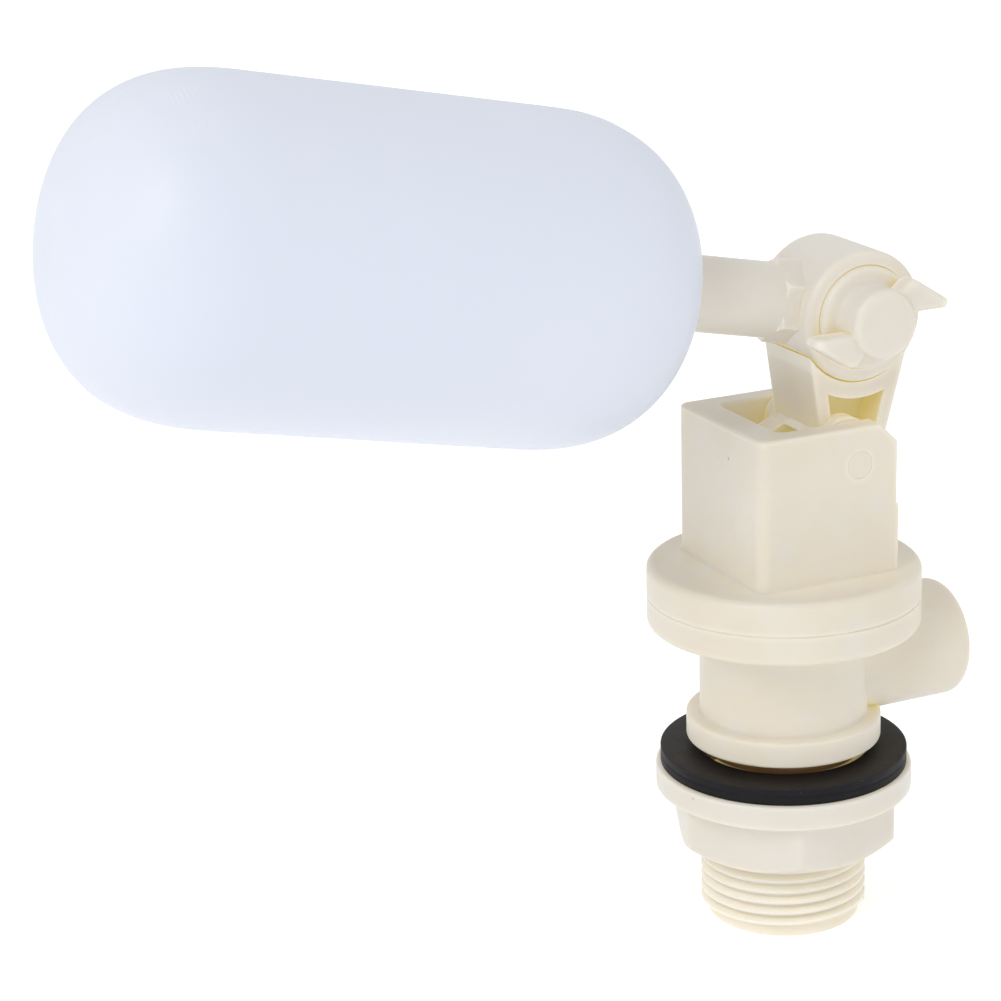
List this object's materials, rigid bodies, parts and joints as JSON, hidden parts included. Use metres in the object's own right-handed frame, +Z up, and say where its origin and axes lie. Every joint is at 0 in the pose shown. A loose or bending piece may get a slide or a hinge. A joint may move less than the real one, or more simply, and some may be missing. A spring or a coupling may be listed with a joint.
{
  "type": "float valve",
  "caption": "Plastic float valve: threaded tail with back nut and gasket, side outlet, square lever housing, and a long round-ended float on a short adjustable arm.",
  "frame": {"origin": "centre of the inlet mouth, at the foot of the threaded tail", "axes": "+Z up the valve's axis, +X towards the side outlet, the float towards -X"},
  "size_m": [0.1457, 0.0504, 0.1455],
  "materials": {
    "cream_plastic": "satin, slightly translucent nylon",
    "float_plastic": "soft satin blow-moulded polyethylene",
    "black_rubber": "matt",
    "steel": "brushed",
    "brass": "machined"
  },
  "bodies": {
    "valve": {"valve_body": "cream_plastic", "seat_ring": "brass", "diaphragm": "black_rubber", "bonnet": "cream_plastic", "pivot_pin": "cream_plastic"},
    "valve_stem": {"stem": "steel", "valve_disc": "cream_plastic", "disc_seal": "black_rubber", "disc_nut": "brass", "diaphragm_washer": "brass", "diaphragm_nut": "brass"},
    "valve_lever": {"lever": "cream_plastic", "stem_pin": "steel"},
    "arm": {"float_arm": "cream_plastic", "clamp_bolt": "steel", "clamp_washer": "steel"},
    "wing_nut": {"thumb_nut": "cream_plastic"},
    "float": {"float_shell": "float_plastic", "float_socket": "float_plastic"},
    "seal_washer": {"gasket": "black_rubber"},
    "nut": {"back_nut": "cream_plastic"}
  },
  "joints": [
    {"name": "lever_tilt", "type": "hinge", "parent": "valve", "child": "valve_lever", "pos_m": [0.0057, 0, 0.0773], "axis": [0, 1, 0], "range_deg": [0, 25]},
    {"name": "stem_lift", "type": "slide", "parent": "valve", "child": "valve_stem", "axis": [0, 0, 1], "range_m": [0, 0.00254], "deforming": ["diaphragm"]},
    {"name": "arm_set", "type": "hinge", "parent": "valve_lever", "child": "arm", "pos_m": [0.00936, 0, 0.09897], "axis": [0, 1, 0], "range_deg": [-5, 25]},
    {"name": "thumb_turn", "type": "hinge", "parent": "arm", "child": "wing_nut", "pos_m": [0.00936, 0, 0.09897], "axis": [0, 1, 0], "continuous": true},
    {"name": "float_turn", "type": "hinge", "parent": "arm", "child": "float", "pos_m": [0.00936, 0, 0.09897], "axis": [-0.9789, 0, 0.2045], "continuous": true},
    {"name": "gasket_slide", "type": "slide", "parent": "valve", "child": "seal_washer", "axis": [0, 0, 1], "range_m": [-0.011, 0.0014]},
    {"name": "nut_turn", "type": "hinge", "parent": "seal_washer", "child": "nut", "pos_m": [0, 0, 0.02], "axis": [0, 0, 1], "range_deg": [-2160, 270]}
  ],
  "couplings": [
    {"joint": "stem_lift", "follows": "lever_tilt", "m_per_rad": 0.005794},
    {"joint": "gasket_slide", "follows": "nut_turn", "m_per_rad": 0.00028871}
  ]
}
